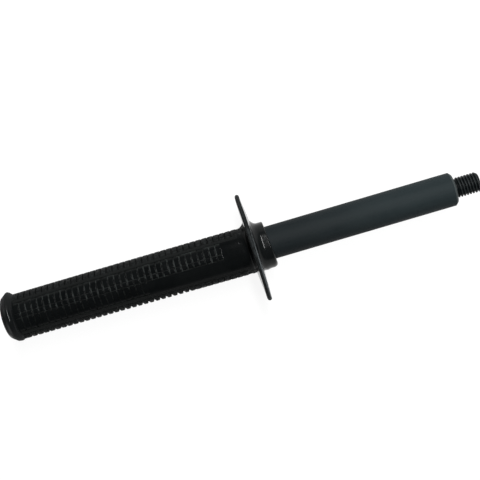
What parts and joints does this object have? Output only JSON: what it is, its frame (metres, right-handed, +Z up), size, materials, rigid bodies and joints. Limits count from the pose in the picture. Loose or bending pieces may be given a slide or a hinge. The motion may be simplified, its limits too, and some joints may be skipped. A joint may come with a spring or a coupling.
{
  "type": "power tool side handle",
  "caption": "Straight side handle: rubber grip with rows of small blocks, domed end and round hand guard, on a dark steel bar that ends in a threaded stud.",
  "frame": {"origin": "centre of the bar's shoulder, on the handle's axis, where it seats against the tool", "axes": "+X along the handle towards the tip of the stud, +Z up through the middle of the block rows that face the camera in the picture, +Y to the left of +X"},
  "size_m": [0.2909, 0.0652, 0.0652],
  "materials": {
    "blackened_steel": "blackened, dull satin",
    "black_rubber": "moulded, satin"
  },
  "bodies": {
    "root": {"bar": "blackened_steel", "grip_sleeve": "black_rubber"}
  },
  "joints": []
}
